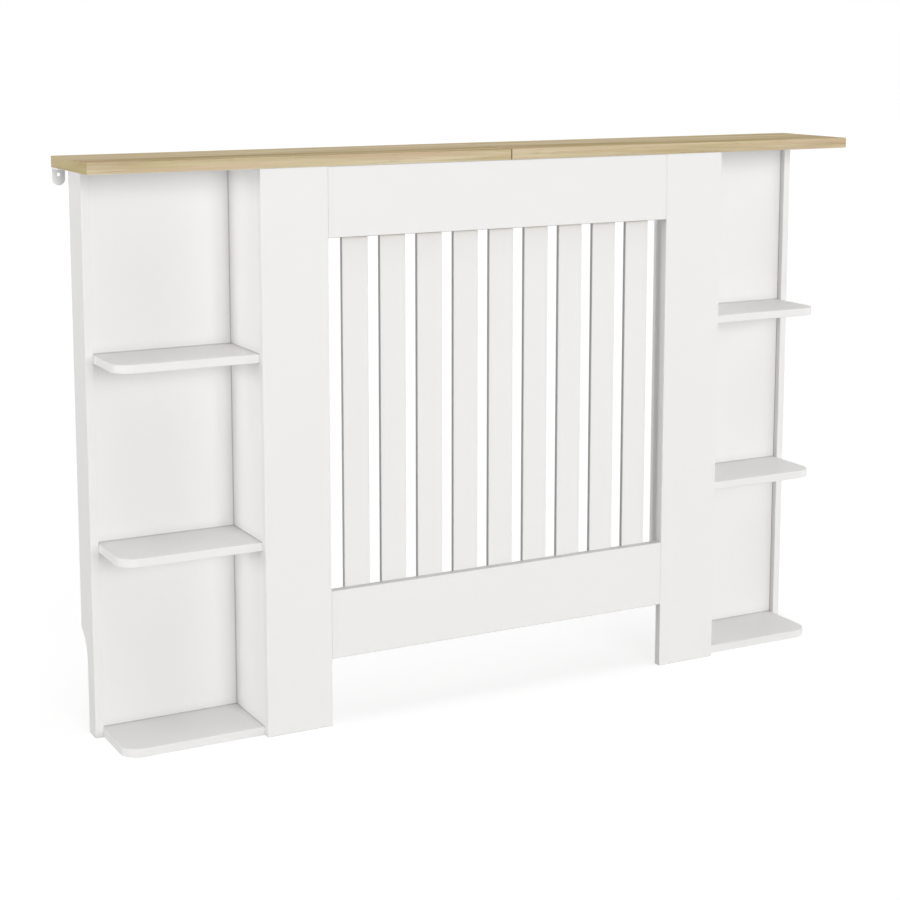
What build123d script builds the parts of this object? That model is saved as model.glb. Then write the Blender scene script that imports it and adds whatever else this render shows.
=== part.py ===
"""Radiator cover cabinet: a slatted centre box between two open shelf bays, under an oak-effect worktop.

Millimetres. The origin is on the floor, at the middle of the footprint. The front faces -Y, the wall
is at +Y, and +Z is up.
"""

import os
from math import acos, degrees

from build123d import *

# ---- Worktop ----
overall_height = 820.0
worktop_depth = 165.0
worktop_thickness = 16.0
worktop_front_overhang = 1.0  # past the front frame
worktop_end_overhang = 24.0  # past each end panel
worktop_seam_offset = 9.5  # the two boards meet this far right of the middle
worktop_edge_round = 1.0

# ---- Front frame: two stiles, two rails ----
opening_width = 562.0
stile_width = 100.0
frame_thickness = 12.0
top_rail_height = 99.0
bottom_rail_height = 100.0
bottom_rail_clearance = 100.0  # from the floor to the lower rail
arris = 0.6  # small bevel that the white boards have along their edges

# ---- Grille slats, planted on the back of the rails ----
slat_count = 9
slat_width = 40.0
slat_thickness = 6.0
slat_edge_gap = 25.8  # from the opening's edge to the first slat
slat_lap = 35.0  # how far each slat end runs behind a rail

# ---- Battens that stiffen the stiles from behind ----
batten_width = 30.0
batten_depth = 15.0

# ---- Panels of the centre box and of the shelf bays ----
panel_thickness = 12.0
bay_width = 205.0
end_panel_depth = 54.0
bay_panel_setback = 10.0  # behind the end panel's front edge

# ---- Cut-out at the foot of the upright panels, which lets the cabinet pass a skirting board ----
skirting_cut_depth = 26.0
skirting_cut_straight = 105.0
skirting_cut_radius = 50.0

# ---- Shelves ----
shelf_thickness = 12.0
shelf_corner_radius = 28.0
top_shelf_height = 548.0  # from the floor to the shelf's upper face
middle_shelf_height = 281.0

# ---- Wall brackets, under the worktop's ends ----
wall_bracket_width = 18.0
wall_bracket_drop = 25.0
wall_bracket_reach = 30.0
wall_bracket_metal = 2.0
wall_bracket_bend = 1.5  # outer radius of the bend
wall_bracket_inset = 1.0  # in from the worktop's end
wall_hole_radius = 2.5
wall_hole_drop = 10.0  # from the worktop's underside to the hole's centre

# ---- Steel plate that ties the two worktop boards, and the angles that carry the worktop ----
tie_plate_width = 40.0
tie_plate_length = 90.0
tie_plate_metal = 2.0
tie_plate_screw_edge = 10.0  # from the plate's edges to the screws
angle_leg = 20.0
angle_width = 16.0
angle_metal = 1.5
angle_spacing = 80.0  # between the two angles on one side panel

# ---- Fastenings ----
dowel_radius = 3.0
dowel_in_face = 7.0  # depth into the face of a board
dowel_in_edge = 15.0  # depth into the edge of a board
pan_screw_radius = 1.75
pan_head_radius = 3.5
pan_head_height = 2.0
pan_screw_length = 10.5  # under the head
slat_screw_radius = 1.5
slat_screw_head_radius = 3.0
slat_screw_bite = 8.0  # how far it enters the rail
batten_screw_bite = 7.0
shelf_screw_radius = 2.0
shelf_screw_head_radius = 4.0
shelf_screw_bite = 26.0
fit = 0.05  # gap round a dowel or a screw in its hole
tip_gap = 0.5  # free depth past the end of a dowel or a screw

# ---- Levels and faces worked out from the sizes above ----
underside = overall_height - worktop_thickness
wall_face = worktop_depth / 2
frame_front = -worktop_depth / 2 + worktop_front_overhang
frame_back = frame_front + frame_thickness
frame_middle = frame_front + frame_thickness / 2
opening_half = opening_width / 2
box_half = opening_half + stile_width  # outer faces of the stiles and of the side panels
box_inner_half = box_half - panel_thickness
end_inner = box_half + bay_width
end_outer = end_inner + panel_thickness
worktop_half = end_outer + worktop_end_overhang
end_front = wall_face - end_panel_depth
bay_front = end_front + bay_panel_setback
bay_back = bay_front + panel_thickness
bay_middle = bay_front + panel_thickness / 2
opening_bottom = bottom_rail_clearance + bottom_rail_height
opening_top = underside - top_rail_height
slat_pitch = (opening_width - 2 * slat_edge_gap - slat_width) / (slat_count - 1)
slat_middles = [(i - (slat_count - 1) / 2) * slat_pitch for i in range(slat_count)]
slat_back = frame_back + slat_thickness
box_depth_middle = (frame_back + wall_face) / 2
shelf_depth_middle = (frame_back + bay_front) / 2
shelf_heights = {"top": top_shelf_height, "middle": middle_shelf_height, "bottom": shelf_thickness}
sides = {"left": -1, "right": 1}
wall_bracket_middle = worktop_half - wall_bracket_inset - wall_bracket_width / 2

UP, DOWN, BACK, FRONT = (0, 0, 1), (0, 0, -1), (0, 1, 0), (0, -1, 0)


def across(side):
    """The direction from the middle of the cabinet out to this side."""
    return (side, 0, 0)


def facing(outward, points):
    """A place at each point with its +Z along `outward`, the way that a drill or a screw comes from."""
    return [Plane(origin=point, z_dir=outward).location for point in points]


def drill(outward, points, radius, depth):
    """Plain round holes in the part being built."""
    with Locations(*facing(outward, points)):
        Hole(radius, depth)


# ---- Where the fastenings stand: each list serves the pieces on both sides of the joint ----


def rail_dowel_points(side):
    """On the joint between a stile and the two rails, a quarter of the rail in from each rail edge."""
    heights = [bottom_rail_clearance + bottom_rail_height * share for share in (0.25, 0.75)]
    heights += [opening_top + top_rail_height * share for share in (0.25, 0.75)]
    return [(side * opening_half, frame_middle, z) for z in heights]


def stile_dowel_points(side):
    """On the joint between a stile's back and the front edge of its side panel."""
    x = side * (box_half - panel_thickness / 2)
    return [(x, frame_back, underside * share) for share in (0.15, 0.5, 0.85)]


def bay_dowel_points(x):
    """On a bay panel's upright edge, at `x`."""
    return [(x, bay_middle, underside * share) for share in (0.12, 0.52, 0.88)]


def end_dowel_points(side):
    """On the top edge of an end panel."""
    x = side * (end_inner + panel_thickness / 2)
    return [(x, wall_face - end_panel_depth / 2, underside)]


def seam_dowel_points():
    """On the joint between the two worktop boards."""
    z = underside + worktop_thickness / 2
    return [(worktop_seam_offset, worktop_depth * share, z) for share in (-0.35, 0.35)]


def slat_screw_points(x):
    """On a slat's back, one into each rail."""
    return [(x, slat_back, z) for z in (opening_bottom - slat_lap / 2, opening_top + slat_lap / 2)]


def batten_screw_points(side):
    """On a batten's back."""
    x = side * (opening_half + batten_width / 2)
    length = underside - bottom_rail_clearance
    heights = [bottom_rail_clearance + length * share for share in (0.06, 0.5, 0.94)]
    return [(x, frame_back + batten_depth, z) for z in heights]


def shelf_level(shelf):
    """The middle of a shelf's thickness."""
    return shelf_heights[shelf] - shelf_thickness / 2


def shelf_side_screw_points(side, shelf):
    """On the side panel's inner face, into the shelf's inner end."""
    reach = (bay_front - frame_back) / 4
    rows = (shelf_depth_middle - reach, shelf_depth_middle + reach)
    return [(side * box_inner_half, y, shelf_level(shelf)) for y in rows]


def shelf_back_screw_points(side, shelf):
    """On the bay panel's back, into the shelf's back edge near the end panel."""
    return [(side * (box_half + bay_width * 0.75), bay_back, shelf_level(shelf))]


def tie_plate_screw_points():
    """On the tie plate's lower face."""
    dx = tie_plate_width / 2 - tie_plate_screw_edge
    dy = tie_plate_length / 2 - tie_plate_screw_edge
    z = underside - tie_plate_metal
    return [(worktop_seam_offset + i * dx, box_depth_middle + j * dy, z) for i in (-1, 1) for j in (-1, 1)]


def angle_rows():
    """Where the angles stand along the depth of a side panel."""
    return [box_depth_middle - angle_spacing / 2, box_depth_middle + angle_spacing / 2]


def angle_top_screw_points(side):
    """On the lower face of each angle's level leg."""
    x = side * (box_inner_half - angle_leg / 2 - angle_metal / 2)
    return [(x, y, underside - angle_metal) for y in angle_rows()]


def angle_side_screw_points(side):
    """On the inner face of each angle's upright leg."""
    x = side * (box_inner_half - angle_metal)
    return [(x, y, underside - angle_leg / 2 - angle_metal / 2) for y in angle_rows()]


def wall_bracket_screw_points(side):
    """On the lower face of the wall bracket's level leg."""
    y = wall_face - wall_bracket_reach * 0.6
    return [(side * wall_bracket_middle, y, underside - wall_bracket_metal)]


# ---- Worktop ----


def make_worktop(x_start, x_end, outer_side):
    """One worktop board. Its edges are rounded, all but those at the seam."""
    with BuildPart() as worktop:
        with BuildSketch(Plane.XY.offset(underside)):
            with Locations(((x_start + x_end) / 2, 0)):
                Rectangle(x_end - x_start, worktop_depth)
        extrude(amount=worktop_thickness)
        seam = worktop.faces().sort_by(Axis.X)[0 if outer_side > 0 else -1]
        kept = [edge for edge in worktop.edges() if edge not in seam.edges()]
        fillet(kept, worktop_edge_round)

        seam_depth = dowel_in_edge + tip_gap
        drill(across(-outer_side), seam_dowel_points(), dowel_radius + fit, seam_depth)
        drill(DOWN, end_dowel_points(outer_side), dowel_radius + fit, dowel_in_face + tip_gap)
        thread = pan_screw_radius + fit
        bite = pan_screw_length + tip_gap
        plate_points = [
            (x, y, underside)
            for x, y, z in tie_plate_screw_points()
            if (x - worktop_seam_offset) * outer_side > 0
        ]
        angle_points = [(x, y, underside) for x, y, z in angle_top_screw_points(outer_side)]
        bracket_points = [(x, y, underside) for x, y, z in wall_bracket_screw_points(outer_side)]
        drill(DOWN, plate_points, thread, bite - tie_plate_metal)
        drill(DOWN, angle_points, thread, bite - angle_metal)
        drill(DOWN, bracket_points, thread, bite - wall_bracket_metal)
    return worktop.part


# ---- Front frame ----


def make_stile(side):
    """An upright of the front frame, from the floor to the worktop."""
    with BuildPart() as stile:
        with BuildSketch(Plane.XZ.offset(-frame_back)):
            with Locations((side * (opening_half + stile_width / 2), underside / 2)):
                Rectangle(stile_width, underside)
        extrude(amount=frame_thickness)
        chamfer(stile.faces().sort_by(Axis.Y)[0].edges(), arris)

        drill(across(-side), rail_dowel_points(side), dowel_radius + fit, dowel_in_edge + tip_gap)
        drill(BACK, stile_dowel_points(side), dowel_radius + fit, dowel_in_face + tip_gap)
        screw_points = [(x, frame_back, z) for x, y, z in batten_screw_points(side)]
        drill(BACK, screw_points, slat_screw_radius + fit, batten_screw_bite + tip_gap)
    return stile.part


def make_rail(z_bottom, height, screw_height):
    """A cross member of the front frame, with the slats screwed to its back."""
    with BuildPart() as rail:
        with BuildSketch(Plane.XZ.offset(-frame_back)):
            with Locations((0, z_bottom + height / 2)):
                Rectangle(opening_width, height)
        extrude(amount=frame_thickness)
        chamfer(rail.faces().sort_by(Axis.Y)[0].edges(), arris)

        for side in sides.values():
            ends = [p for p in rail_dowel_points(side) if z_bottom < p[2] < z_bottom + height]
            drill(across(side), ends, dowel_radius + fit, dowel_in_edge + tip_gap)
        screw_points = [(x, frame_back, screw_height) for x in slat_middles]
        drill(BACK, screw_points, slat_screw_radius + fit, slat_screw_bite + tip_gap)
    return rail.part


def make_slat(x):
    """A grille slat, which laps the back of both rails."""
    with BuildPart() as slat:
        with BuildSketch(Plane.XZ.offset(-slat_back)):
            with Locations((x, (opening_bottom + opening_top) / 2)):
                Rectangle(slat_width, opening_top - opening_bottom + 2 * slat_lap)
        extrude(amount=slat_thickness)
        front = slat.faces().sort_by(Axis.Y)[0]
        chamfer(front.edges().filter_by(Axis.Z), arris)

        with Locations(*facing(BACK, slat_screw_points(x))):
            CounterSinkHole(
                radius=slat_screw_radius + fit,
                counter_sink_radius=slat_screw_head_radius + fit,
                depth=slat_thickness,
                counter_sink_angle=90,
            )
    return slat.part


def make_batten(side):
    """A batten behind a stile, flush with the opening."""
    with BuildPart() as batten:
        with BuildSketch(Plane.XY.offset(bottom_rail_clearance)):
            with Locations((side * (opening_half + batten_width / 2), frame_back + batten_depth / 2)):
                Rectangle(batten_width, batten_depth)
        extrude(amount=underside - bottom_rail_clearance)
        back = batten.faces().sort_by(Axis.Y)[-1]
        chamfer(back.edges().filter_by(Axis.Z), arris)

        with Locations(*facing(BACK, batten_screw_points(side))):
            CounterSinkHole(
                radius=slat_screw_radius + fit,
                counter_sink_radius=slat_screw_head_radius + fit,
                depth=batten_depth,
                counter_sink_angle=90,
            )
    return batten.part


# ---- Panels ----


def make_upright_panel(side, x_inner, y_front):
    """An upright panel that reaches the wall, with the skirting cut-out at its foot."""
    turn = degrees(acos((skirting_cut_radius - skirting_cut_depth) / skirting_cut_radius))
    cut_face = wall_face - skirting_cut_depth
    with BuildPart() as panel:
        with BuildSketch(Plane.YZ.offset(min(side * x_inner, side * (x_inner + panel_thickness)))):
            with BuildLine():
                foot = Polyline((wall_face, underside), (y_front, underside), (y_front, 0), (cut_face, 0))
                rise = Line(foot @ 1, (cut_face, skirting_cut_straight))
                curve = JernArc(rise @ 1, (0, 1), skirting_cut_radius, -turn)
                Line(curve @ 1, foot @ 0)
            make_face()
        extrude(amount=panel_thickness)
    return panel.part


def make_end_panel(side):
    """The outer upright of a shelf bay."""
    with BuildPart() as panel:
        add(make_upright_panel(side, end_inner, end_front))
        chamfer(panel.faces().sort_by(Axis.Y)[0].edges().filter_by(Axis.Z), arris)

        drill(UP, end_dowel_points(side), dowel_radius + fit, dowel_in_edge + tip_gap)
        points = bay_dowel_points(side * end_inner)
        drill(across(-side), points, dowel_radius + fit, dowel_in_face + tip_gap)
    return panel.part


def make_side_panel(side):
    """A side of the centre box, between the front frame and the wall."""
    with BuildPart() as panel:
        add(make_upright_panel(side, box_inner_half, frame_back))

        drill(FRONT, stile_dowel_points(side), dowel_radius + fit, dowel_in_edge + tip_gap)
        points = bay_dowel_points(side * box_half)
        drill(across(side), points, dowel_radius + fit, dowel_in_face + tip_gap)
        screw_points = [(side * box_inner_half, y, z) for x, y, z in angle_side_screw_points(side)]
        thread_depth = pan_screw_length - angle_metal + tip_gap
        drill(across(-side), screw_points, pan_screw_radius + fit, thread_depth)
        for shelf in shelf_heights:
            with Locations(*facing(across(-side), shelf_side_screw_points(side, shelf))):
                CounterSinkHole(
                    radius=shelf_screw_radius + fit,
                    counter_sink_radius=shelf_screw_head_radius + fit,
                    depth=panel_thickness,
                    counter_sink_angle=90,
                )
    return panel.part


def make_bay_panel(side):
    """The back of a shelf bay, between the side panel and the end panel."""
    with BuildPart() as panel:
        with BuildSketch(Plane.XZ.offset(-bay_back)):
            with Locations((side * (box_half + end_inner) / 2, underside / 2)):
                Rectangle(bay_width, underside)
        extrude(amount=panel_thickness)

        depth = dowel_in_edge + tip_gap
        drill(across(-side), bay_dowel_points(side * box_half), dowel_radius + fit, depth)
        drill(across(side), bay_dowel_points(side * end_inner), dowel_radius + fit, depth)
        for shelf in shelf_heights:
            with Locations(*facing(BACK, shelf_back_screw_points(side, shelf))):
                CounterSinkHole(
                    radius=shelf_screw_radius + fit,
                    counter_sink_radius=shelf_screw_head_radius + fit,
                    depth=panel_thickness,
                    counter_sink_angle=90,
                )
    return panel.part


def make_shelf(side, shelf):
    """A shelf with one round front corner, at the open end of its bay."""
    level = shelf_heights[shelf] - shelf_thickness
    with BuildPart() as board:
        with BuildSketch(Plane.XY.offset(level)) as outline:
            with Locations((side * (box_half + end_inner) / 2, shelf_depth_middle)):
                Rectangle(bay_width, bay_front - frame_back)
            outer = outline.vertices().group_by(Axis.X)[-1 if side > 0 else 0]
            fillet(outer.sort_by(Axis.Y)[0], shelf_corner_radius)
        extrude(amount=shelf_thickness)
        front_edges = board.faces().sort_by(Axis.Y)[0].edges().filter_by(Axis.X)
        corner_edges = board.edges().filter_by(GeomType.CIRCLE)
        chamfer(front_edges + corner_edges, arris)

        inner_points = [(side * box_half, y, z) for x, y, z in shelf_side_screw_points(side, shelf)]
        back_points = [(x, bay_front, z) for x, y, z in shelf_back_screw_points(side, shelf)]
        thread = shelf_screw_radius + fit
        drill(across(-side), inner_points, thread, shelf_screw_bite + tip_gap)
        drill(BACK, back_points, thread, shelf_screw_bite + tip_gap)
    return board.part


# ---- Metal fittings ----


def make_wall_bracket(side):
    """An angle under the worktop's end. Its hanging leg has a round foot and the wall screw's hole."""
    x = side * wall_bracket_middle
    round_foot = wall_bracket_width / 2
    with BuildPart() as bracket:
        with BuildSketch(Plane.XZ.offset(-wall_face)):
            with Locations((x, underside - (wall_bracket_drop - round_foot) / 2)):
                Rectangle(wall_bracket_width, wall_bracket_drop - round_foot)
            with Locations((x, underside - wall_bracket_drop + round_foot)):
                Circle(round_foot)
        extrude(amount=wall_bracket_metal)
        with BuildSketch(Plane.XY.offset(underside - wall_bracket_metal)):
            with Locations((x, wall_face - wall_bracket_reach / 2)):
                Rectangle(wall_bracket_width, wall_bracket_reach)
        extrude(amount=wall_bracket_metal)
        upper_back = bracket.edges().filter_by(Axis.X).group_by(Axis.Z)[-1].sort_by(Axis.Y)[-1]
        fillet(upper_back, wall_bracket_bend)

        wall_hole = [(x, wall_face, underside - wall_hole_drop)]
        drill(BACK, wall_hole, wall_hole_radius, wall_bracket_metal)
        points = wall_bracket_screw_points(side)
        drill(DOWN, points, pan_screw_radius + fit, wall_bracket_metal)
    return bracket.part


def make_tie_plate():
    """The steel plate across the worktop's seam."""
    with BuildPart() as plate:
        with BuildSketch(Plane.XY.offset(underside - tie_plate_metal)):
            with Locations((worktop_seam_offset, box_depth_middle)):
                RectangleRounded(tie_plate_width, tie_plate_length, tie_plate_screw_edge / 2)
        extrude(amount=tie_plate_metal)
        drill(DOWN, tie_plate_screw_points(), pan_screw_radius + fit, tie_plate_metal)
    return plate.part


def make_worktop_angles():
    """Four steel angles, two on each side panel, that carry the worktop."""
    with BuildPart() as angles:
        for side in sides.values():
            corner = side * box_inner_half
            for y in angle_rows():
                with BuildSketch(Plane.XZ.offset(-y - angle_width / 2)):
                    with BuildLine():
                        Polyline(
                            (corner, underside),
                            (corner - side * angle_leg, underside),
                            (corner - side * angle_leg, underside - angle_metal),
                            (corner - side * angle_metal, underside - angle_metal),
                            (corner - side * angle_metal, underside - angle_leg),
                            (corner, underside - angle_leg),
                            close=True,
                        )
                    make_face()
                extrude(amount=angle_width)
            hole = pan_screw_radius + fit
            drill(DOWN, angle_top_screw_points(side), hole, angle_metal)
            drill(across(-side), angle_side_screw_points(side), hole, angle_metal)
    return angles.part


# ---- Dowels and screws: like ones share a part ----


def lay_dowels(into, points, shallow, deep):
    """Dowels across a joint, `shallow` behind each joint point and `deep` past it along `into`."""
    starts = [Vector(*point) - Vector(*into) * shallow for point in points]
    with Locations(*facing(into, starts)):
        Cylinder(dowel_radius, shallow + deep, align=(Align.CENTER, Align.CENTER, Align.MIN))


def make_rail_dowels():
    """Eight dowels that join the rails to the stiles."""
    with BuildPart() as dowels:
        for side in sides.values():
            lay_dowels(across(side), rail_dowel_points(side), dowel_in_edge, dowel_in_edge)
    return dowels.part


def make_stile_dowels():
    """Six dowels that join the stiles to the side panels."""
    with BuildPart() as dowels:
        for side in sides.values():
            lay_dowels(BACK, stile_dowel_points(side), dowel_in_face, dowel_in_edge)
    return dowels.part


def make_bay_dowels():
    """Twelve dowels that join the bay panels to the side panels and the end panels."""
    with BuildPart() as dowels:
        for side in sides.values():
            lay_dowels(across(side), bay_dowel_points(side * box_half), dowel_in_face, dowel_in_edge)
            lay_dowels(across(-side), bay_dowel_points(side * end_inner), dowel_in_face, dowel_in_edge)
    return dowels.part


def make_end_dowels():
    """Two dowels that locate the worktop on the end panels."""
    with BuildPart() as dowels:
        for side in sides.values():
            lay_dowels(DOWN, end_dowel_points(side), dowel_in_face, dowel_in_edge)
    return dowels.part


def make_seam_dowels():
    """Two dowels that keep the two worktop boards level."""
    with BuildPart() as dowels:
        lay_dowels(across(1), seam_dowel_points(), dowel_in_edge, dowel_in_edge)
    return dowels.part


def make_countersunk_screw(radius, head_radius, length):
    """A countersunk screw that points down, with its head's face at the origin."""
    with BuildPart() as screw:
        with BuildSketch(Plane.XZ):
            with BuildLine():
                Polyline(
                    (0, 0),
                    (head_radius, 0),
                    (radius, radius - head_radius),
                    (radius, -length),
                    (0, -length),
                    close=True,
                )
            make_face()
        revolve(axis=Axis.Z)
    return screw.part


def make_pan_screw():
    """A pan-head screw that points down, with the face under its head at the origin."""
    bevel = pan_head_height / 3
    with BuildPart() as screw:
        with BuildSketch(Plane.XZ):
            with BuildLine():
                Polyline(
                    (0, pan_head_height),
                    (pan_head_radius - bevel, pan_head_height),
                    (pan_head_radius, pan_head_height - bevel),
                    (pan_head_radius, 0),
                    (pan_screw_radius, 0),
                    (pan_screw_radius, -pan_screw_length),
                    (0, -pan_screw_length),
                    close=True,
                )
            make_face()
        revolve(axis=Axis.Z)
    return screw.part


def make_slat_screws():
    """Eighteen screws, one at each end of each slat."""
    screw = make_countersunk_screw(
        slat_screw_radius, slat_screw_head_radius, slat_thickness + slat_screw_bite
    )
    with BuildPart() as screws:
        for x in slat_middles:
            with Locations(*facing(BACK, slat_screw_points(x))):
                add(screw)
    return screws.part


def make_batten_screws():
    """Six screws that hold the battens to the stiles."""
    screw = make_countersunk_screw(
        slat_screw_radius, slat_screw_head_radius, batten_depth + batten_screw_bite
    )
    with BuildPart() as screws:
        for side in sides.values():
            with Locations(*facing(BACK, batten_screw_points(side))):
                add(screw)
    return screws.part


def make_shelf_screws():
    """Three screws to each shelf: two through the side panel, one through the bay panel."""
    screw = make_countersunk_screw(
        shelf_screw_radius, shelf_screw_head_radius, panel_thickness + shelf_screw_bite
    )
    with BuildPart() as screws:
        for side in sides.values():
            for shelf in shelf_heights:
                with Locations(*facing(across(-side), shelf_side_screw_points(side, shelf))):
                    add(screw)
                with Locations(*facing(BACK, shelf_back_screw_points(side, shelf))):
                    add(screw)
    return screws.part


def make_fitting_screws():
    """The pan-head screws of the tie plate, the angles and the wall brackets."""
    screw = make_pan_screw()
    with BuildPart() as screws:
        with Locations(*facing(DOWN, tie_plate_screw_points())):
            add(screw)
        for side in sides.values():
            with Locations(*facing(DOWN, angle_top_screw_points(side))):
                add(screw)
            with Locations(*facing(across(-side), angle_side_screw_points(side))):
                add(screw)
            with Locations(*facing(DOWN, wall_bracket_screw_points(side))):
                add(screw)
    return screws.part


def all_pieces():
    """Every piece of the cabinet, by name."""
    pieces = {
        "worktop_left": make_worktop(-worktop_half, worktop_seam_offset, -1),
        "worktop_right": make_worktop(worktop_seam_offset, worktop_half, 1),
        "rail_top": make_rail(opening_top, top_rail_height, opening_top + slat_lap / 2),
        "rail_bottom": make_rail(
            bottom_rail_clearance, bottom_rail_height, opening_bottom - slat_lap / 2
        ),
        "tie_plate": make_tie_plate(),
        "worktop_angles": make_worktop_angles(),
        "rail_dowels": make_rail_dowels(),
        "stile_dowels": make_stile_dowels(),
        "bay_dowels": make_bay_dowels(),
        "end_dowels": make_end_dowels(),
        "seam_dowels": make_seam_dowels(),
        "slat_screws": make_slat_screws(),
        "batten_screws": make_batten_screws(),
        "shelf_screws": make_shelf_screws(),
        "fitting_screws": make_fitting_screws(),
    }
    for number, x in enumerate(slat_middles, start=1):
        pieces[f"slat_{number}"] = make_slat(x)
    for name, side in sides.items():
        pieces[f"stile_{name}"] = make_stile(side)
        pieces[f"batten_{name}"] = make_batten(side)
        pieces[f"side_panel_{name}"] = make_side_panel(side)
        pieces[f"bay_panel_{name}"] = make_bay_panel(side)
        pieces[f"end_panel_{name}"] = make_end_panel(side)
        pieces[f"wall_bracket_{name}"] = make_wall_bracket(side)
        for shelf in shelf_heights:
            pieces[f"shelf_{name}_{shelf}"] = make_shelf(side, shelf)
    return pieces


os.makedirs("parts", exist_ok=True)
for name, piece in all_pieces().items():
    piece.label = name
    export_step(piece, f"parts/{name}.step")
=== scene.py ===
import math
import random

import bmesh
import bpy
from bpy.props import FloatProperty, FloatVectorProperty, PointerProperty
from bpy.types import Operator, Panel, PropertyGroup
from mathutils import Matrix, Vector


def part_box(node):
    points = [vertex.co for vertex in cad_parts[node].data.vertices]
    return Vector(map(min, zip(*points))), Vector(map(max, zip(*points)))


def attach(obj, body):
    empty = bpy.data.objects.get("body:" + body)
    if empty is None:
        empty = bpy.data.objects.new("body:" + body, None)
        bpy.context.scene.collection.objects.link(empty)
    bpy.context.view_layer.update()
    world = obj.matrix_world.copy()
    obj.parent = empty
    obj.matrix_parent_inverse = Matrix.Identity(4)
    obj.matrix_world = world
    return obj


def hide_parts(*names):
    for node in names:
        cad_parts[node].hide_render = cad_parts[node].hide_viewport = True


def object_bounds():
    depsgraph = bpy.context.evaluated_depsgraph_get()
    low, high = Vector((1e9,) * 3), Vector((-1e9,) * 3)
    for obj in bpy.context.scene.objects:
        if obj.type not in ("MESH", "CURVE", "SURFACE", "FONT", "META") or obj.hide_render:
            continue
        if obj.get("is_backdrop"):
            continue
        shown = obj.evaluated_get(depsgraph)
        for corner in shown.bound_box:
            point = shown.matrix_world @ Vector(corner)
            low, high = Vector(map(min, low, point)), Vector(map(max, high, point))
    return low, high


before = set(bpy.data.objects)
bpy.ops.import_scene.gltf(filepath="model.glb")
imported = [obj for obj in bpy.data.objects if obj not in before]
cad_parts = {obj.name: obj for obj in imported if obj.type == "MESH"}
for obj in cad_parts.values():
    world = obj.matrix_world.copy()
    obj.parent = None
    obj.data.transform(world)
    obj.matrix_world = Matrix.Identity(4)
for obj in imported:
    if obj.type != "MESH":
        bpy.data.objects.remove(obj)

bl_info = {
    "name": "Radiator cover finishes",
    "version": (1, 0, 0),
    "blender": (4, 5, 0),
    "location": "View3D > Sidebar > Cover",
    "description": "Finishes a radiator cover cabinet and sets it on a plain stage",
    "category": "Object",
}

MM = 0.001
X, Y, Z = range(3)
SIDES = ("left", "right")
SHELVES = ("top", "middle", "bottom")
SLATS = [f"slat_{number}" for number in range(1, 10)]

# Shape of the hidden screws. PAN_DOME has steps down the head: a share of its height, and the widening.
ROUND = 32  # sides of a head or a shank
RIM = 0.15  # height of a countersunk head's rim, in millimetres
PAN_HEIGHT = 0.57  # of the head's radius
PAN_TOP = 0.42  # of the head's radius
PAN_DOME = ((0.07, 1.5), (0.16, 1.28), (0.27, 1.12), (0.5, 1.107))
POINT_LENGTH = 1.6  # of the shank's radius
POINT_WIDTH = 0.12  # of the shank's width
RECESS_FLOOR = (0.45, 0.7, 1.0)  # of the recess's mouth
SMOOTH_ANGLE = math.radians(35)

# The lamps: name, azimuth from straight ahead towards +X, elevation and spread, in degrees
LAMPS = (
    ("front", 0, 7, 32),
    ("right", 60, 15, 40),
    ("left", -90, 3, 16),
    ("top", 0, 86, 40),
    ("back", 180, 10, 40),
)


# ---- Sizes and colours that a user would change ----


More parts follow.
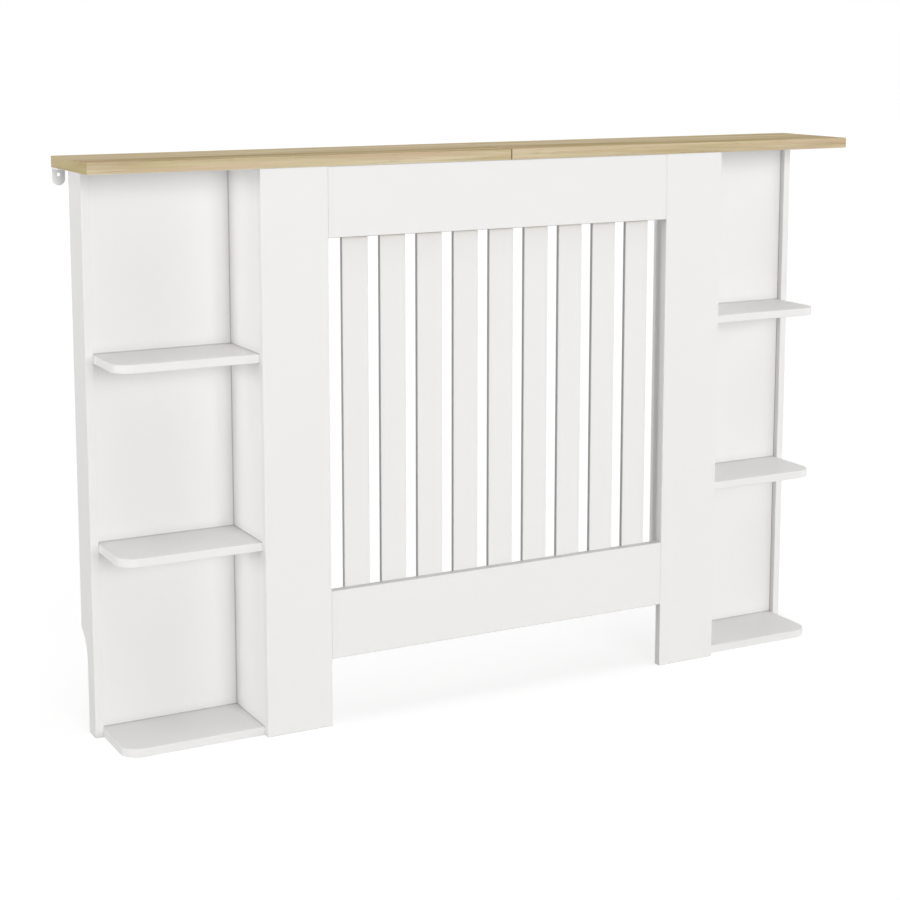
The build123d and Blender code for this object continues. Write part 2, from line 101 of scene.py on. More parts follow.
class CoverFinishes(PropertyGroup):
    """Colours and surface sizes of the boards and the metal."""

    foil_colour: FloatVectorProperty(
        name="White foil", description="Foil on the boards", subtype="COLOR",
        default=(0.858, 0.850, 0.840),
    )
    foil_roughness: FloatProperty(
        name="Foil roughness", description="Matt foil is near a half", subtype="FACTOR", default=0.46
    )
    joint_colour: FloatVectorProperty(
        name="Joint colour", description="Line where two boards meet", subtype="COLOR",
        default=(0.17, 0.165, 0.16),
    )
    joint_width: FloatProperty(
        name="Joint line", description="How far the line reaches from a joint", unit="LENGTH",
        default=0.0016,
    )
    # Painted shade: how far the boards are darkened near a joint
    joint_shade_reach: FloatProperty(
        name="Joint_shade", description="How far dust reaches from a joint", unit="LENGTH", default=0.014
    )
    raw_board: FloatVectorProperty(
        name="Raw fibreboard", description="Bare edges at the wall and the floor", subtype="COLOR",
        default=(0.47, 0.34, 0.21),
    )
    oak_light: FloatVectorProperty(
        name="Oak, light", description="Light wood of the printed oak", subtype="COLOR",
        default=(0.69, 0.600, 0.415),
    )
    oak_dark: FloatVectorProperty(
        name="Oak, dark", description="Dark wood of the printed oak", subtype="COLOR",
        default=(0.40, 0.295, 0.140),
    )
    oak_blush: FloatVectorProperty(
        name="Oak, pinkish", description="Pinkish patches", subtype="COLOR", default=(0.65, 0.47, 0.34)
    )
    oak_gold: FloatVectorProperty(
        name="Oak, golden", description="Golden patches, and the short ends", subtype="COLOR",
        default=(0.55, 0.46, 0.24),
    )
    oak_pore: FloatVectorProperty(
        name="Oak, pores", description="Short dark pores", subtype="COLOR", default=(0.25, 0.185, 0.10)
    )
    seam_colour: FloatVectorProperty(
        name="Seam", description="Line where the two worktop boards meet", subtype="COLOR",
        default=(0.13, 0.07, 0.03),
    )
    ring_width: FloatProperty(
        name="Ring width", description="From one growth ring to the next", unit="LENGTH", default=0.011
    )
    ring_wander: FloatProperty(
        name="Ring wander", description="How far the rings stray from straight", unit="LENGTH",
        default=0.055,
    )
    heart_height: FloatProperty(
        name="Heart", description="Height of the printed tree's middle above the floor", unit="LENGTH",
        default=0.755,
    )
    stripe_place: FloatProperty(
        name="Stripe", description="From the heart to a dark stripe along the top", unit="LENGTH",
        default=0.109,
    )
    enamel_colour: FloatVectorProperty(
        name="Bracket enamel", description="Powder coat on the brackets", subtype="COLOR",
        default=(0.80, 0.80, 0.79),
    )
    zinc_colour: FloatVectorProperty(
        name="Zinc", description="Plating on the hidden metal", subtype="COLOR",
        default=(0.56, 0.58, 0.61),
    )
    zinc_blush: FloatVectorProperty(
        name="Zinc blush", description="Yellowish clouds in the plating", subtype="COLOR",
        default=(0.60, 0.57, 0.50),
    )
    beech_colour: FloatVectorProperty(
        name="Beech", description="Wood of the dowels", subtype="COLOR", default=(0.62, 0.43, 0.25)
    )


class CoverScrews(PropertyGroup):
    """Shape of the cross recess in the screw heads."""

    recess_span: FloatProperty(
        name="Recess span", description="As a share of the head's width", subtype="FACTOR", default=0.62
    )
    recess_slot: FloatProperty(
        name="Recess slot", description="Each arm, as a share of the head's width", subtype="FACTOR",
        default=0.15,
    )
    recess_depth: FloatProperty(
        name="Recess depth", description="As a share of the head's width", subtype="FACTOR",
        default=0.24,
    )


class CoverStage(PropertyGroup):
    """Floor, light and camera."""

    floor_size: FloatProperty(name="Floor", description="Side of the floor", unit="LENGTH", default=40.0)
    floor_colour: FloatVectorProperty(
        name="Floor colour", description="Pale floor", subtype="COLOR", default=(0.62, 0.62, 0.62)
    )
    floor_seen: FloatVectorProperty(
        name="Floor, seen directly", description="Takes the object's shadow", subtype="COLOR",
        default=(0.40, 0.40, 0.40),
    )
    floor_glow: FloatProperty(
        name="Floor glow", description="Lifts the floor to white where it is seen directly",
        default=0.71,
    )
    world_level: FloatProperty(name="World", description="Light from all round, 1 is white", default=0.25)
    front_level: FloatProperty(name="Front", description="Soft low light from straight ahead", default=0.575)
    right_level: FloatProperty(name="Right", description="Soft light from the front right", default=0.23)
    left_level: FloatProperty(name="Left", description="Light along the wall from the left", default=0.49)
    top_level: FloatProperty(name="Top", description="Soft light from straight above", default=0.32)
    back_level: FloatProperty(name="Back", description="Soft low light from behind", default=0.30)
    camera_place: FloatVectorProperty(
        name="Camera", description="Where the camera stands", subtype="TRANSLATION", unit="LENGTH",
        default=(-1.3523, -2.4803, 0.9921),
    )
    camera_turn: FloatProperty(
        name="Turn", description="Towards +X from straight ahead", unit="ROTATION",
        default=math.radians(27.739),
    )
    camera_dip: FloatProperty(
        name="Dip", description="Below the horizon", unit="ROTATION", default=math.radians(8.424)
    )
    camera_lens: FloatProperty(name="Lens", description="Focal length, in millimetres", default=76.18)
    camera_rise: FloatProperty(name="Rise", description="Vertical shift of the lens", default=-0.155)


# ---- Shader expressions ----


class Wire:
    """An output socket with arithmetic. Each operation adds a Math node."""

    def __init__(self, paint, socket):
        self.paint = paint
        self.socket = socket

    def math(self, operation, *others):
        values = dict(enumerate((self, *others)))
        return self.paint.node("ShaderNodeMath", {"operation": operation}, values)

    def __add__(self, other):
        return self.math("ADD", other)

    def __sub__(self, other):
        return self.math("SUBTRACT", other)

    def __mul__(self, other):
        return self.math("MULTIPLY", other)

    def __truediv__(self, other):
        return self.math("DIVIDE", other)

    def __pow__(self, other):
        return self.math("POWER", other)

    def __abs__(self):
        return self.math("ABSOLUTE")

    def __rsub__(self, other):
        return self.paint.node("ShaderNodeMath", {"operation": "SUBTRACT"}, {0: other, 1: self})

    __radd__ = __add__
    __rmul__ = __mul__

    def over(self, level):
        """1 where the value is above the level."""
        return self.math("GREATER_THAN", level)

    def highest(self, other):
        """The greater of two values."""
        return self.math("MAXIMUM", other)

    def band(self, start, end, low=0.0, high=1.0):
        """A smooth step from low at start to high at end."""
        settings = {"interpolation_type": "SMOOTHSTEP"}
        values = {"Value": self, "From Min": start, "From Max": end, "To Min": low, "To Max": high}
        return self.paint.node("ShaderNodeMapRange", settings, values)


class Paint:
    """The nodes of a material or a world, written as expressions."""

    def __init__(self, owner):
        owner.use_nodes = True
        self.owner = owner
        self.tree = owner.node_tree
        self.tree.nodes.clear()

    def node(self, kind, settings=None, values=None, output=0):
        """Adds a node. Its settings come first, then the values or links of its sockets."""
        made = self.tree.nodes.new(kind)
        for name, value in (settings or {}).items():
            setattr(made, name, value)
        for name, value in (values or {}).items():
            socket = made.inputs[name]
            if isinstance(value, Wire):
                self.tree.links.new(value.socket, socket)
            elif socket.type == "RGBA" and len(value) == 3:
                socket.default_value = (*value, 1.0)
            else:
                socket.default_value = value
        return Wire(self, made.outputs[output])

    def place(self):
        """Object coordinates, in metres."""
        return self.node("ShaderNodeTexCoord", output="Object")

    def normal(self):
        return self.node("ShaderNodeNewGeometry", output="True Normal")

    def axes(self, vector):
        """The three numbers of a vector."""
        split = self.node("ShaderNodeSeparateXYZ", None, {0: vector}).socket.node
        return [Wire(self, socket) for socket in split.outputs]

    def vector(self, x, y, z):
        return self.node("ShaderNodeCombineXYZ", None, {0: x, 1: y, 2: z})

    def stretch(self, vector, scale, move=(0.0, 0.0, 0.0)):
        """A vector, scaled and then moved."""
        values = {"Vector": vector, "Location": move, "Scale": scale}
        return self.node("ShaderNodeMapping", None, values)

    def noise(self, vector, scale=1.0, detail=2.0, roughness=0.5):
        values = {"Vector": vector, "Scale": scale, "Detail": detail, "Roughness": roughness}
        return self.node("ShaderNodeTexNoise", None, values)

    def streaks(self, vector, along, across, detail=3.0, roughness=0.5, move=(0.0, 0.0, 0.0)):
        """Noise that is drawn out along X. The scales along and across it are per metre."""
        return self.noise(self.stretch(vector, (along, across, across), move), 1.0, detail, roughness)

    def mix(self, factor, first, second):
        """A colour between two colours."""
        values = {"Factor": factor, 6: first, 7: second}
        return self.node("ShaderNodeMix", {"data_type": "RGBA"}, values, output=2)

    def mix_vectors(self, factor, first, second):
        values = {"Factor": factor, 4: first, 5: second}
        return self.node("ShaderNodeMix", {"data_type": "VECTOR"}, values, output=1)

    def brighten(self, colour, level):
        """A colour, times a number."""
        return self.node("ShaderNodeVectorMath", {"operation": "SCALE"}, {0: colour, "Scale": level})

    def bump(self, height, distance, strength):
        values = {"Height": height, "Distance": distance, "Strength": strength}
        return self.node("ShaderNodeBump", None, values)

    def surface(self, **values):
        """The Principled shader and the output. An underscore in a name stands for a space."""
        named = {name.replace("_", " "): value for name, value in values.items()}
        return self.finish(self.node("ShaderNodeBsdfPrincipled", None, named))

    def finish(self, shader, kind="ShaderNodeOutputMaterial"):
        """Links the shader to an output and gives back the material or world."""
        output = self.tree.nodes.new(kind)
        self.tree.links.new(shader.socket, output.inputs["Surface"])
        return self.owner


# ---- Finishes ----


def begin(name):
    """The user's finishes, a new material's paint and its Object coordinates."""
    paint = Paint(bpy.data.materials.new(name))
    return bpy.context.scene.cover_finishes, paint, paint.place()


def darker(colour):
    """The dark parts of a rough, fibrous colour."""
    return tuple(0.62 * part for part in colour)


def looks(facing, axis, sign=0, least=0.5):
    """1 on the faces that look towards an axis's end, by sign, or towards both ends with sign 0."""
    along = facing[axis] * sign if sign else abs(facing[axis])
    return along.over(least)


def joint_lines(across, joints, strength):
    """How dark the lines are that follow the joints, and the painted shade along them."""
    finishes = bpy.context.scene.cover_finishes
    line, joint_shade = 0.0, 0.0
    for axis, where in joints:
        gap = abs(across[axis] - where)
        line = gap.band(finishes.joint_width * 0.3, finishes.joint_width, strength, 0.0).highest(line)
        # painted shade that darkens the board near the joint
        joint_shade = gap.band(0.0, finishes.joint_shade_reach, strength * 0.14, 0.0).highest(joint_shade)
    return line, joint_shade


def raw_edges(across, facing, core):
    """1 on the bare edges of a board: those at the floor and, on an upright panel, at the wall."""
    axis, middle, half = core
    inside = 1.0 - abs(across[axis] - middle).over(half - 0.35 * MM)
    hidden = looks(facing, Z, -1)
    if axis == X:
        hidden = hidden.highest(looks(facing, Y, 1, least=0.3))
    return inside * hidden


def white_board(name, joints=(), side=None, core=None, shade=(), strength=0.4, behind=None):
    """White foil on fibreboard, with a dark line and a little painted shade along each joint.

    `joints` holds (axis, place) pairs, and `side` is the (axis, sign) of the face that has them, or sign 0
    for both faces. `core` is (axis, middle, half) of a board's thickness, where its raw edges show. `shade`
    is (axis, amount) of painted shade: the faces across that axis are greyer by the amount. `strength` is
    how dark the lines are, and none is drawn further back than `behind`.
    """
    finishes, paint, place = begin(name)
    across = paint.axes(place)
    facing = paint.axes(paint.normal())

    cloud = paint.noise(place, scale=5.0)
    print_grain = paint.noise(place, scale=420.0, detail=3.0, roughness=0.6)
    level = 0.985 + cloud * 0.02 + print_grain * 0.012
    height = paint.noise(place, scale=950.0)
    roughness = finishes.foil_roughness - 0.05 + cloud * 0.06 + print_grain * 0.05

    if joints:
        line, joint_shade = joint_lines(across, joints, strength)
        seen = looks(facing, *side)
        if behind is not None:
            seen = seen * (behind - across[Y]).over(0.0)
        # painted shade near the joints darkens the foil
        level = level - joint_shade * seen
        height = height - line * seen * 1.5
    colour = paint.brighten(finishes.foil_colour, level)
    if joints:
        colour = paint.mix(line * seen, colour, finishes.joint_colour)
    # Painted shade: the faces across the given axis are darker
    if shade:
        axis, amount = shade
        colour = paint.brighten(colour, 1.0 - looks(facing, axis, least=0.6) * amount)

    if core:
        bare = raw_edges(across, facing, core)
        fibre = paint.noise(place, scale=900.0, detail=4.0, roughness=0.75)
        raw = paint.mix(fibre.band(0.35, 0.7), darker(finishes.raw_board), finishes.raw_board)
        colour = paint.mix(bare, colour, raw)
        roughness = roughness + bare * 0.4
        height = height + bare * fibre * 3.0
    return paint.surface(
        Base_Color=colour,
        Roughness=roughness,
        Specular_IOR_Level=0.2,
        Normal=paint.bump(height, distance=0.03 * MM, strength=0.5),
    )


def oak_board(name, move, seam):
    """Printed oak with white foil on the underside, and a brown line at the seam.

    The grain runs along X, and along Y on the short ends. `move` is where the pattern is cut from, so that
    the two boards differ, and `seam` is the place of the seam along X.
    """
    finishes, paint, place = begin(name)
    x, y, z = paint.axes(place)
    facing = paint.axes(paint.normal())
    end = looks(facing, X, least=0.6)
    flat = looks(facing, Z, 1)
    front = looks(facing, Y, -1)
    under = looks(facing, Z, -1)
    grain = paint.mix_vectors(end, place, paint.vector(y, x, z))
    grain = paint.stretch(grain, (1.0, 1.0, 1.0), move)

    # Growth rings round a wandering heart: `early` is the dark part of each ring
    wander = paint.streaks(grain, 1.6, 7.0, roughness=0.55) - 0.5
    depth = paint.streaks(grain, 1.1, 2.5, detail=2.0)
    _, side, up = paint.axes(grain)
    off_heart = side + wander * finishes.ring_wander
    below = up - finishes.heart_height + depth * finishes.ring_wander
    radius = (off_heart * off_heart + below * below) ** 0.5
    rough_edge = paint.streaks(grain, 14.0, 260.0, roughness=0.6)
    phase = (radius / finishes.ring_width + rough_edge * 0.30).math("FRACT")
    early = phase.band(0.55, 0.97) * (1.0 - phase.band(0.97, 1.0))

    # Broad bands and one dark stripe along the top, then fine streaks, fibres and pores everywhere
    band = off_heart.band(-0.09, -0.01, 0.20, 0.40) - off_heart.band(0.0, 0.09, 0.0, 0.86)
    stripe = abs(off_heart - finishes.stripe_place).band(0.003, 0.016, 0.55, 0.0)
    streak = paint.streaks(grain, 2.2, 60.0, detail=5.0, roughness=0.65)
    fibre = paint.streaks(grain, 9.0, 520.0, roughness=0.65)
    pore = paint.streaks(grain, 34.0, 1500.0, detail=2.0).band(0.60, 0.70) * (0.35 + early * 0.65)

    # 0 is light wood and 1 is dark
    contrast = 0.82 + flat * 0.60
    tone = 0.33 + (streak.band(0.34, 0.66) - 0.5) * contrast + early * (0.30 - end * 0.22)
    tone = tone + fibre.band(0.3, 0.75) * 0.20 - front * 0.16 + (band + stripe - 0.04) * flat
    colour = paint.mix(tone, finishes.oak_light, finishes.oak_dark)

    blush = paint.streaks(grain, 2.6, 80.0, move=(3.0, 1.0, 2.0))
    colour = paint.mix(blush.band(0.47, 0.62, 0.0, 0.55 + flat * 0.2), colour, finishes.oak_blush)
    gold = paint.streaks(grain, 2.2, 70.0, move=(7.0, 5.0, 1.0))
    golden = gold.band(0.48, 0.66, 0.0, 0.50) + end * 0.45 + flat * 0.14
    colour = paint.mix(golden, colour, finishes.oak_gold)
    colour = paint.mix(pore * 0.55, colour, finishes.oak_pore)
    crack = abs(x - seam).band(0.6 * MM, 1.4 * MM, 1.0, 0.0) * (0.25 + front * 0.6)
    colour = paint.mix(crack, colour, finishes.seam_colour)
    colour = paint.mix(under, colour, paint.brighten(finishes.foil_colour, 0.97 + fibre * 0.03))
    height = fibre * 0.4 - pore * 1.2 - early * 0.25
    return paint.surface(
        Base_Color=colour,
        Roughness=0.78 + fibre * 0.10 + pore * 0.10,
        Specular_IOR_Level=0.02,
        Normal=paint.bump(height, distance=0.06 * MM, strength=0.7),
    )


def powder_coat(name):
    """White powder coat with a fine orange peel, with painted shade that greys it towards the end panels and
    a painted highlight at its outer edge.
    """
    finishes, paint, place = begin(name)
    peel = paint.noise(place, scale=700.0)
    cloud = paint.noise(place, scale=60.0)
    low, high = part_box("wall_bracket_right")
    # Painted shade near the end panel and painted light at the outer edge, across the bracket's width
    painted_light_and_shade = abs(paint.axes(place)[X]).band(low.x, high.x, 0.27, -0.10)
    return paint.surface(
        Base_Color=paint.brighten(finishes.enamel_colour, 0.97 + cloud * 0.05 - painted_light_and_shade),
        Roughness=0.34 + peel * 0.12,
        Specular_IOR_Level=0.5,
        Normal=paint.bump(peel, distance=0.1 * MM, strength=0.35),
    )


def zinc(name, fineness=1.0):
    """Zinc-plated steel: faint spangle, fine scratches and yellowish blushes."""
    finishes, paint, place = begin(name)
    cells = {"Vector": place, "Scale": 260.0 * fineness}
    spangle = paint.node("ShaderNodeTexVoronoi", {"feature": "F1"}, cells, output="Distance")
    scratch = paint.noise(paint.stretch(place, (60.0, 2400.0, 900.0)), detail=3.0, roughness=0.7)
    blush = paint.noise(place, scale=45.0).band(0.45, 0.75)
    tint = paint.mix(blush * 0.5, finishes.zinc_colour, finishes.zinc_blush)
    return paint.surface(
        Base_Color=paint.brighten(tint, 0.86 + spangle * 0.22),
        Metallic=1.0,
        Roughness=0.30 + scratch * 0.16 + spangle * 0.08,
        Normal=paint.bump(scratch, distance=0.03 * MM, strength=0.5),
    )


def beech(name):
    """Raw beech with short flecks."""
    finishes, paint, place = begin(name)
    fleck = paint.noise(place, scale=1400.0).band(0.52, 0.66)
    band = paint.noise(place, scale=180.0, detail=3.0)
    wood = paint.brighten(finishes.beech_colour, 0.85 + band * 0.3)
    return paint.surface(
        Base_Color=paint.mix(fleck * 0.6, wood, darker(finishes.beech_colour)),
        Roughness=0.62 + band * 0.15,
        Normal=paint.bump(fleck, distance=0.05 * MM, strength=0.4),
    )


# ---- Work on the nodes ----


def dress(names, material):
    """Gives one material to each of these nodes."""
    for name in names:
        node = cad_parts[name]
        node.data.materials.clear()
        node.data.materials.append(material)


def thickness(name, axis):
    """(axis, middle, half) of a board's thickness."""
    low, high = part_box(name)
    return axis, (low[axis] + high[axis]) / 2, (high[axis] - low[axis]) / 2


def shelf_joints(side):
    """Where the shelves of one bay meet the upright boards."""
    places = []
    for shelf in SHELVES:
        low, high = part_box(f"shelf_{side}_{shelf}")
        places.append((Z, high.z))
        if shelf != "bottom":
            places.append((Z, low.z))
    return places


def shells(shape):
    """The corners of each separate closed shell of a mesh."""
    left = set(shape.verts)
    while left:
        corners, edge = [], [left.pop()]
        while edge:
            vert = edge.pop()
            corners.append(vert.co.copy())
            near = {link.other_vert(vert) for link in vert.link_edges} & left
            left -= near
            edge.extend(near)
        yield corners


def seat(corners):
    """(middle of the head's face, way to the point, length, head radius, shank radius) of one screw."""
    low = Vector([min(co[i] for co in corners) for i in range(3)])
    high = Vector([max(co[i] for co in corners) for i in range(3)])
    size = high - low
    axis = max(range(3), key=lambda i: size[i])
    middle = (low + high) / 2
    radius = {}
    for end, place in ((-1, low[axis]), (1, high[axis])):
        rim = [co for co in corners if abs(co[axis] - place) < size[axis] / 4]
        radius[end] = max(math.hypot(*[co[i] - middle[i] for i in range(3) if i != axis]) for co in rim)
    head = max(radius, key=radius.get)
    direction = Vector([-head if i == axis else 0.0 for i in range(3)])
    return middle - direction * (size[axis] / 2), direction, size[axis], radius[head], radius[-head]


def screw_seats(node):
    """The seat of each screw of a node, in a fixed order."""
    shape = bmesh.new()
    shape.from_mesh(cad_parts[node].data)
    bmesh.ops.remove_doubles(shape, verts=shape.verts, dist=MM / 1000)
    seats = [seat(corners) for corners in shells(shape)]
    shape.free()
    return sorted(seats, key=lambda found: tuple(found[0]))


# ---- Screws ----


def deselect():
    bpy.ops.object.select_all(action="DESELECT")


def select_faces(piece, test):
    """Leaves edit mode's selection on the faces that pass a test of centre and normal."""
    shape = bmesh.from_edit_mesh(piece.data)
    for face in shape.faces:
        face.select = bool(test(face.calc_center_median(), face.normal))
    shape.select_flush_mode()
    bmesh.update_edit_mesh(piece.data)


def pull(up, width):
    """Extrudes the selected end face along Z and scales it."""
    bpy.ops.mesh.extrude_region_move(TRANSFORM_OT_translate={"value": (0, 0, up)})
    bpy.ops.transform.resize(value=(width, width, 1.0))


def start_screw(name, radius):
    """A disc at the origin, in edit mode and selected."""
    deselect()
    bpy.ops.mesh.primitive_circle_add(vertices=ROUND, radius=radius, fill_type="NGON", location=(0, 0, 0))
    screw = bpy.context.object
    screw.name = name
    bpy.ops.object.mode_set(mode="EDIT")
    bpy.ops.mesh.select_all(action="SELECT")
    return screw


def end_screw(screw, head, shank, rest):
    """Adds the shank and its point, closes the mesh, cuts the recess and smooths the round sides.

    `head` and `shank` are radii, and `rest` is how far the point lies below the head.
    """
    pull(-(rest - shank * POINT_LENGTH), 1.0)
    pull(-shank * POINT_LENGTH, POINT_WIDTH)
    bpy.ops.mesh.select_all(action="SELECT")
    bpy.ops.mesh.remove_doubles(threshold=0.001)
    bpy.ops.mesh.normals_make_consistent(inside=False)
    bpy.ops.object.mode_set(mode="OBJECT")
    cut_recess(screw, head * 2)
    bpy.ops.object.shade_smooth_by_angle(angle=SMOOTH_ANGLE)
    return screw


def cut_recess(screw, head_width):
    """Cuts a tapered cross into a screw's head, whose face is at the origin."""
    screws = bpy.context.scene.cover_screws
    depth = head_width * screws.recess_depth
    for turn in (0.0, math.pi / 2):
        deselect()
        bpy.ops.mesh.primitive_cube_add(size=1.0, location=(0, 0, 0), rotation=(0, 0, turn))
        cutter = bpy.context.object
        cutter.scale = (head_width * screws.recess_span, head_width * screws.recess_slot, depth * 2)
        bpy.ops.object.mode_set(mode="EDIT")
        select_faces(cutter, lambda centre, normal: normal.z < -0.5)
        bpy.ops.transform.resize(value=RECESS_FLOOR)
        bpy.ops.object.mode_set(mode="OBJECT")
        bpy.ops.object.transform_apply(location=True, rotation=True, scale=True)
        deselect()
        screw.select_set(True)
        bpy.context.view_layer.objects.active = screw
        cut = screw.modifiers.new("Recess", "BOOLEAN")
        cut.operation = "DIFFERENCE"
        cut.solver = "EXACT"
        cut.object = cutter
        bpy.ops.object.modifier_apply(modifier=cut.name)
        bpy.data.objects.remove(cutter, do_unlink=True)


def model_countersunk(name, length, head, shank):
    """A countersunk screw in millimetres, from its radii: head's face at the origin, point down."""
    screw = start_screw(name, head)
    cone = head - shank
    pull(-RIM, 1.0)
    pull(-cone, shank / head)
    return end_screw(screw, head, shank, length - cone - RIM)


def model_pan_head(name, length, head, shank):
    """A pan-head screw in millimetres, from its radii: top of the head at the origin, point down."""
    screw = start_screw(name, head * PAN_TOP)
    height = head * PAN_HEIGHT
    for drop, width in PAN_DOME:
        pull(-height * drop, width)
    pull(0.0, shank / head)
    return end_screw(screw, head, shank, length - height)


def set_screws(node, model, material):
    """Models one screw for a node and sets a turned copy of it in each seat."""
    name = f"{node}_driven"
    seats = screw_seats(node)
    _, _, length, head, shank = seats[0]
    pattern = model(name, length / MM, head / MM, shank / MM)
    turn = random.Random(node)
    copies = []
    for number, (top, direction, _, _, _) in enumerate(seats):
        copy = bpy.data.objects.new(f"{name}_{number}", pattern.data.copy())
        bpy.context.collection.objects.link(copy)
        aim = direction.to_track_quat("-Z", "Y").to_matrix().to_4x4()
        spin = Matrix.Rotation(turn.uniform(0, math.tau), 4, "Z")
        copy.data.transform(Matrix.Translation(top) @ aim @ spin @ Matrix.Scale(MM, 4))
        copies.append(copy)
    bpy.data.objects.remove(pattern, do_unlink=True)
    deselect()
    for copy in copies:
        copy.select_set(True)
    bpy.context.view_layer.objects.active = copies[0]
    bpy.ops.object.join()
    piece = bpy.context.object
    piece.name = name
    piece.data.materials.clear()
    piece.data.materials.append(material)
    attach(piece, "root")
    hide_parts(node)


# ---- Operators ----


class COVER_OT_worktop(Operator):
    """Finish the two worktop boards in printed oak"""

    bl_idname = "cover.worktop"
    bl_label = "Worktop"

    def execute(self, context):
        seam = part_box("worktop_left")[1].x
        dress(["worktop_left"], oak_board("Oak worktop, left", (0.31, 0.046, 0.02), seam))
        dress(["worktop_right"], oak_board("Oak worktop, right", (2.23, 0.052, 0.031), seam))
        return {"FINISHED"}


class COVER_OT_front_frame(Operator):
    """Finish the stiles and rails of the front frame"""

    bl_idname = "cover.front_frame"
    bl_label = "Front frame"

    def execute(self, context):
        low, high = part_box("rail_top")
        joints = [(X, low.x), (X, high.x)]
        core = thickness("rail_top", Y)
        # Painted shade on the rails' top and bottom faces
        rails = white_board("White rails", joints, (Y, 0), core, shade=(Z, 0.3), strength=0.10)
        dress(["rail_top", "rail_bottom"], rails)
        # Painted shade, a little, on the stiles' side faces
        dress([f"stile_{side}" for side in SIDES], white_board("White stiles", core=core, shade=(X, 0.03)))
        return {"FINISHED"}


class COVER_OT_grille(Operator):
    """Finish the grille's slats, with a joint line where they meet the rails"""

    bl_idname = "cover.grille"
    bl_label = "Grille slats"

    def execute(self, context):
        joints = [(Z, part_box("rail_top")[0].z), (Z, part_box("rail_bottom")[1].z)]
        # Painted shade on the slats' narrow sides
        dress(SLATS, white_board("White slats", joints, (Y, -1), shade=(X, 0.32), strength=0.05))
        return {"FINISHED"}


class COVER_OT_battens(Operator):
    """Finish the battens behind the stiles"""

    bl_idname = "cover.battens"
    bl_label = "Battens"

    def execute(self, context):
        for side, inward in zip(SIDES, (1, -1)):
            name = f"batten_{side}"
            joints = [(Y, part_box(name)[0].y)]
            core = thickness(name, Y)
            dress([name], white_board(f"White batten, {side}", joints, (X, inward), core, strength=0.12))
        return {"FINISHED"}


class COVER_OT_panels(Operator):
    """Finish the side panels, the bay panels and the end panels"""

    bl_idname = "cover.panels"
    bl_label = "Panels"

    def execute(self, context):
        for side, outward in zip(SIDES, (-1, 1)):
            side_panel, bay_panel, end_panel = (f"{part}_panel_{side}" for part in ("side", "bay", "end"))
            levels = shelf_joints(side)
            low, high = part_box(bay_panel)
            corner = high.x if side == "left" else low.x
            dress([side_panel], white_board(
                f"White side panel, {side}", [*levels, (Y, low.y)], (X, outward), thickness(side_panel, X),
                behind=low.y + MM,
            ))
            dress([bay_panel], white_board(
                f"White bay panel, {side}", [*levels, (X, corner)], (Y, -1), thickness(bay_panel, Y)
            ))
            # The end panel gets painted shade on its faces across X
            dress([end_panel], white_board(
                f"White end panel, {side}", [(Y, low.y)], (X, -outward), thickness(end_panel, X),
                shade=(X, 0.05), strength=0.7,
            ))
        return {"FINISHED"}


class COVER_OT_shelves(Operator):
    """Finish the shelves, with a joint line along their fixed edges"""

    bl_idname = "cover.shelves"
    bl_label = "Shelves"

    def execute(self, context):
        for side in SIDES:
            low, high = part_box(f"shelf_{side}_top")
            inner = high.x if side == "left" else low.x
            finish = white_board(f"White shelves, {side}", [(X, inner), (Y, high.y)], (Z, 0))
            dress([f"shelf_{side}_{shelf}" for shelf in SHELVES], finish)
        return {"FINISHED"}


class COVER_OT_wall_brackets(Operator):
    """Finish the wall brackets in white powder coat"""

    bl_idname = "cover.wall_brackets"
    bl_label = "Wall brackets"

    def execute(self, context):
        dress([f"wall_bracket_{side}" for side in SIDES], powder_coat("White powder coat"))
        return {"FINISHED"}


class COVER_OT_worktop_fittings(Operator):
    """Finish the tie plate and the angles under the worktop in zinc"""

    bl_idname = "cover.worktop_fittings"
    bl_label = "Worktop fittings"

    def execute(self, context):
        dress(["tie_plate", "worktop_angles"], zinc("Zinc-plated steel"))
        return {"FINISHED"}


class COVER_OT_dowels(Operator):
    """Finish the dowels in raw beech"""

    bl_idname = "cover.dowels"
    bl_label = "Dowels"

    def execute(self, context):
        joints = ("rail", "stile", "bay", "end", "seam")
        dress([f"{joint}_dowels" for joint in joints], beech("Raw beech"))
        return {"FINISHED"}


class COVER_OT_countersunk_screws(Operator):
    """Model the countersunk screws of the slats, the battens and the shelves"""

    bl_idname = "cover.countersunk_screws"
    bl_label = "Countersunk screws"

    def execute(self, context):
        metal = zinc("Zinc-plated screws", fineness=4.0)
        for use in ("slat", "batten", "shelf"):
            set_screws(f"{use}_screws", model_countersunk, metal)
        return {"FINISHED"}


class COVER_OT_pan_screws(Operator):
    """Model the pan-head screws of the plate, the angles and the brackets"""

    bl_idname = "cover.pan_screws"
    bl_label = "Pan-head screws"

    def execute(self, context):
        set_screws("fitting_screws", model_pan_head, zinc("Zinc-plated pan heads", fineness=4.0))
        return {"FINISHED"}


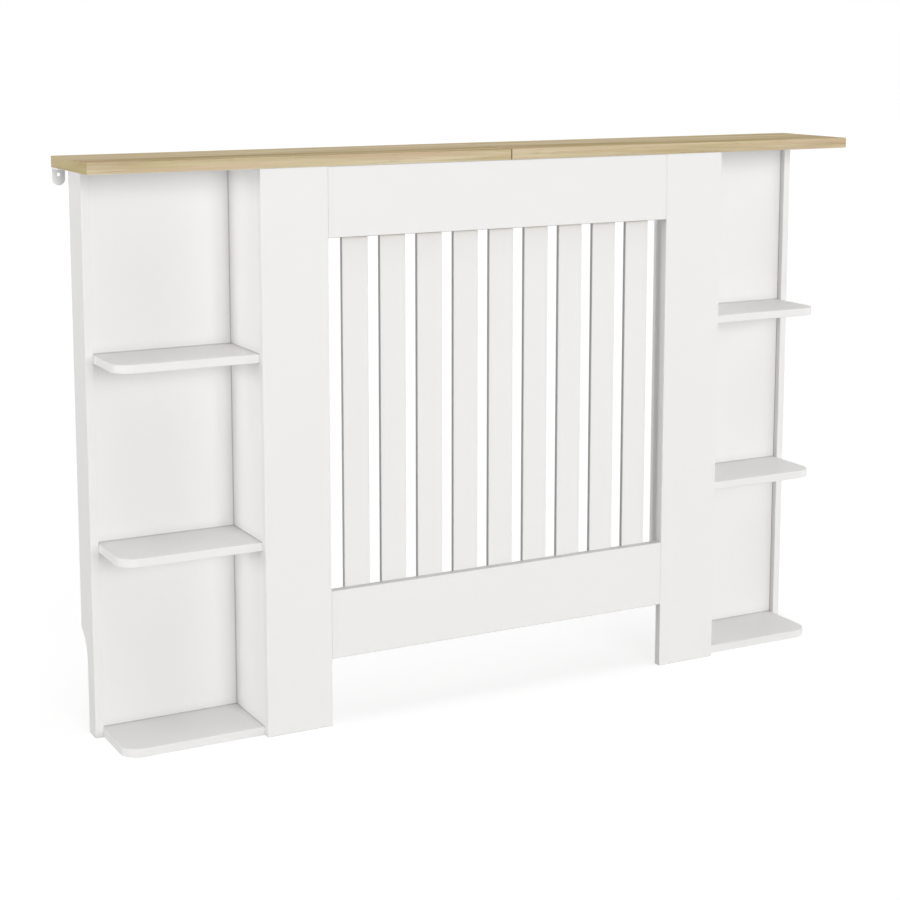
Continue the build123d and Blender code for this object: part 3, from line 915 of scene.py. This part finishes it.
class COVER_OT_stage(Operator):
    """Set the floor, the world, the lamps and the camera"""

    bl_idname = "cover.stage"
    bl_label = "Stage"

    def execute(self, context):
        stage = context.scene.cover_stage
        deselect()
        bpy.ops.mesh.primitive_plane_add(size=stage.floor_size, location=(0, 0, 0))
        floor = context.object
        floor.name = "floor"
        floor.data.materials.append(self.floor_material(stage))
        floor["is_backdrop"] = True
        context.scene.world = self.studio(stage)
        for name, azimuth, elevation, spread in LAMPS:
            self.sun(f"{name}_light", azimuth, elevation, spread, getattr(stage, f"{name}_level"))
        context.scene.camera = self.aimed_camera(stage)
        context.scene.view_settings.view_transform = "Standard"
        return {"FINISHED"}

    def seen_directly(self, paint):
        """1 for what the camera sees directly, in metal or through glass."""
        rays = paint.node("ShaderNodeLightPath", output="Is Camera Ray")
        path = rays.socket.node.outputs
        glossy = Wire(paint, path["Is Glossy Ray"])
        through = Wire(paint, path["Is Transmission Ray"])
        return rays.highest(glossy).highest(through)

    def floor_material(self, stage):
        """A pale floor that looks white but for the object's soft shadow."""
        paint = Paint(bpy.data.materials.new("Pale floor"))
        pale = paint.node("ShaderNodeBsdfDiffuse", None, {"Color": stage.floor_colour})
        shaded = paint.node("ShaderNodeBsdfDiffuse", None, {"Color": stage.floor_seen})
        white = {"Color": (1.0, 1.0, 1.0), "Strength": stage.floor_glow}
        glow = paint.node("ShaderNodeEmission", None, white)
        bright = paint.node("ShaderNodeAddShader", None, {0: shaded, 1: glow})
        factor = self.seen_directly(paint)
        return paint.finish(paint.node("ShaderNodeMixShader", None, {0: factor, 1: pale, 2: bright}))

    def studio(self, stage):
        """A world of even light from all round, behind a white backdrop."""
        paint = Paint(bpy.data.worlds.new("Studio"))
        strength = stage.world_level + self.seen_directly(paint) * (1.0 - stage.world_level)
        glow = paint.node("ShaderNodeBackground", None, {"Color": (1.0, 1.0, 1.0), "Strength": strength})
        return paint.finish(glow, "ShaderNodeOutputWorld")

    def sun(self, name, azimuth, elevation, spread, level):
        """A soft sun, in degrees. At level 1 it lights a white face that looks at it to white."""
        deselect()
        turn = (math.radians(90 - elevation), 0.0, math.radians(azimuth))
        bpy.ops.object.light_add(type="SUN", rotation=turn)
        sun = bpy.context.object
        sun.name = name
        sun.data.angle = math.radians(spread)
        sun.data.energy = math.pi * level

    def aimed_camera(self, stage):
        """The camera at the photograph's viewing angle."""
        deselect()
        turn = (math.pi / 2 - stage.camera_dip, 0.0, -stage.camera_turn)
        bpy.ops.object.camera_add(location=stage.camera_place, rotation=turn)
        camera = bpy.context.object
        camera.data.lens = stage.camera_lens
        camera.data.sensor_width = 36.0
        camera.data.shift_y = stage.camera_rise
        camera.data.clip_start = 0.05
        camera.data.clip_end = 100.0
        return camera


class COVER_PT_panel(Panel):
    """Lists the steps in their order"""

    bl_idname = "COVER_PT_panel"
    bl_label = "Radiator cover"
    bl_space_type = "VIEW_3D"
    bl_region_type = "UI"
    bl_category = "Cover"

    def draw(self, context):
        for step in STEPS:
            self.layout.operator(step.bl_idname)


STEPS = (
    COVER_OT_worktop,
    COVER_OT_front_frame,
    COVER_OT_grille,
    COVER_OT_battens,
    COVER_OT_panels,
    COVER_OT_shelves,
    COVER_OT_wall_brackets,
    COVER_OT_worktop_fittings,
    COVER_OT_dowels,
    COVER_OT_countersunk_screws,
    COVER_OT_pan_screws,
    COVER_OT_stage,
)
CLASSES = (CoverFinishes, CoverScrews, CoverStage, *STEPS, COVER_PT_panel)


def register():
    for entry in CLASSES:
        bpy.utils.register_class(entry)
    bpy.types.Scene.cover_finishes = PointerProperty(type=CoverFinishes)
    bpy.types.Scene.cover_screws = PointerProperty(type=CoverScrews)
    bpy.types.Scene.cover_stage = PointerProperty(type=CoverStage)


def unregister():
    del bpy.types.Scene.cover_stage
    del bpy.types.Scene.cover_screws
    del bpy.types.Scene.cover_finishes
    for entry in reversed(CLASSES):
        bpy.utils.unregister_class(entry)


def corners():
    """The shown object's lowest and highest corner, as plain lists."""
    return [list(corner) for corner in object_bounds()]


def main():
    register()
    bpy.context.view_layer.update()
    for step in STEPS:
        family, action = step.bl_idname.split(".")
        getattr(getattr(bpy.ops, family), action)()


if __name__ == "__main__":
    main()
